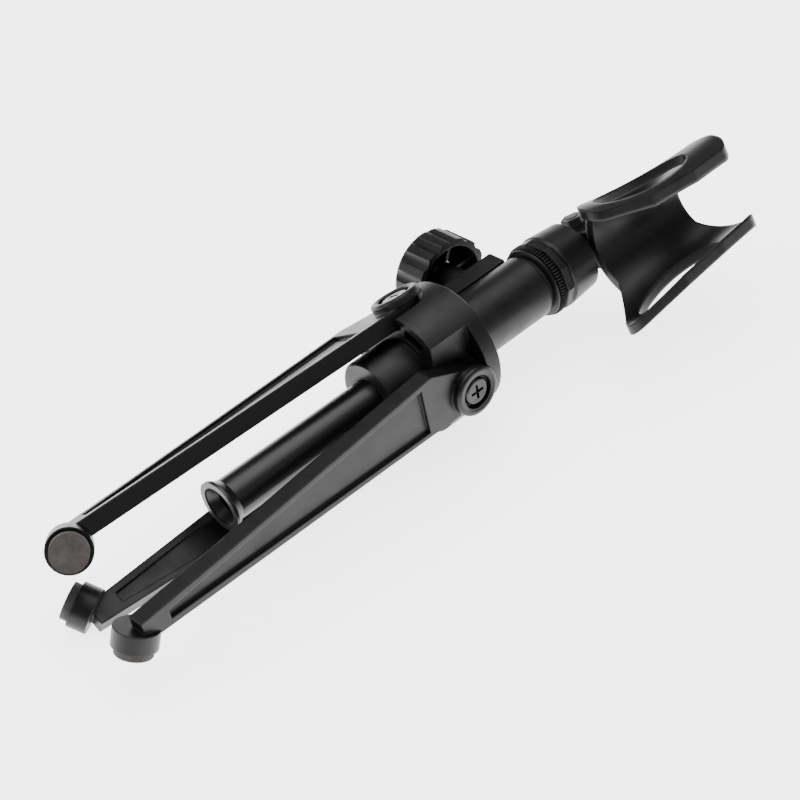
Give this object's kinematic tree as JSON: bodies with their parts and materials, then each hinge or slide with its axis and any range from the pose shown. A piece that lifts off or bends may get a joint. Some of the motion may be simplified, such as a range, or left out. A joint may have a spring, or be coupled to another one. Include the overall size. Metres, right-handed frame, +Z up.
{
  "type": "tabletop microphone stand",
  "caption": "Folded tabletop tripod stand with swing-out legs, a height-adjusting tube locked by a side knob, and a tilting open-sided clip for a microphone or similar.",
  "frame": {"origin": "middle of the folded stand on the surface it lies on", "axes": "+X from the feet to the clip along the stand, +Z up from the surface, +Y towards the clamp knob side"},
  "size_m": [0.2542, 0.0782, 0.0604],
  "materials": {
    "black_plastic": "satin moulded",
    "leg_plastic": "satin moulded",
    "clip_plastic": "satin, slightly flexible",
    "knob_plastic": "satin moulded",
    "liner_plastic": "smooth nylon",
    "thread_plastic": "moulded",
    "hinge_plastic": "moulded nylon",
    "tube_steel": "satin black paint",
    "dark_steel": "black oxide",
    "bright_steel": "zinc plated",
    "insert_alloy": "turned",
    "insert_brass": "knurled",
    "pad_rubber": "matt"
  },
  "bodies": {
    "hub": {"hub_body": "black_plastic", "sleeve_liner": "liner_plastic", "clamp_nut": "bright_steel", "clamp_pad": "liner_plastic", "pivot_screw_1": "dark_steel", "pivot_washer_1": "dark_steel", "pivot_insert_1": "insert_brass", "pivot_screw_2": "dark_steel", "pivot_washer_2": "dark_steel", "pivot_insert_2": "insert_brass", "pivot_screw_3": "dark_steel", "pivot_washer_3": "dark_steel", "pivot_insert_3": "insert_brass"},
    "leg_1": {"leg_1": "leg_plastic", "foot_pad_1": "pad_rubber"},
    "leg_2": {"leg_2": "leg_plastic", "foot_pad_2": "pad_rubber"},
    "leg_3": {"leg_3": "leg_plastic", "foot_pad_3": "pad_rubber"},
    "tube": {"centre_tube": "tube_steel", "thread_stud": "thread_plastic"},
    "ring": {"lock_ring": "black_plastic"},
    "clip_base": {"clip_base": "black_plastic", "thread_insert": "insert_alloy", "hinge_bolt": "hinge_plastic", "hinge_nut": "hinge_plastic"},
    "cradle": {"clip_cradle": "clip_plastic"},
    "knob": {"clamp_knob": "knob_plastic", "clamp_screw": "bright_steel"}
  },
  "joints": [
    {"name": "leg_1_swing", "type": "hinge", "parent": "hub", "child": "leg_1", "pos_m": [0.01119, 0.01046, 0.03622], "axis": [0.0151, -0.6519, -0.7581], "range_deg": [-3.3, 62.4]},
    {"name": "leg_2_swing", "type": "hinge", "parent": "hub", "child": "leg_2", "pos_m": [0.01171, 0.00921, 0.01002], "axis": [-0.0188, -0.3307, 0.9435], "range_deg": [-1.8, 63.9]},
    {"name": "leg_3_swing", "type": "hinge", "parent": "hub", "child": "leg_3", "pos_m": [0.01143, -0.01286, 0.0242], "axis": [0.0037, 0.9827, -0.1854], "range_deg": [0, 65.7]},
    {"name": "height_slide", "type": "slide", "parent": "hub", "child": "tube", "axis": [0.9998, 0, 0.0199], "range_m": [0, 0.057]},
    {"name": "lock_ring_turn", "type": "hinge", "parent": "tube", "child": "ring", "pos_m": [0.06263, 0.00227, 0.0245], "axis": [0.9998, 0, 0.0199], "continuous": true},
    {"name": "clip_turn", "type": "hinge", "parent": "tube", "child": "clip_base", "pos_m": [0.07163, 0.00227, 0.02468], "axis": [0.9998, 0, 0.0199], "continuous": true},
    {"name": "cradle_tilt", "type": "hinge", "parent": "clip_base", "child": "cradle", "pos_m": [0.08717, 0.00522, 0.0231], "axis": [-0.0168, 0.54, 0.8415], "range_deg": [0, 90]},
    {"name": "clamp_knob_turn", "type": "hinge", "parent": "hub", "child": "knob", "pos_m": [0.04602, 0.02487, 0.0199], "axis": [0.0037, 0.9827, -0.1854], "continuous": true}
  ]
}
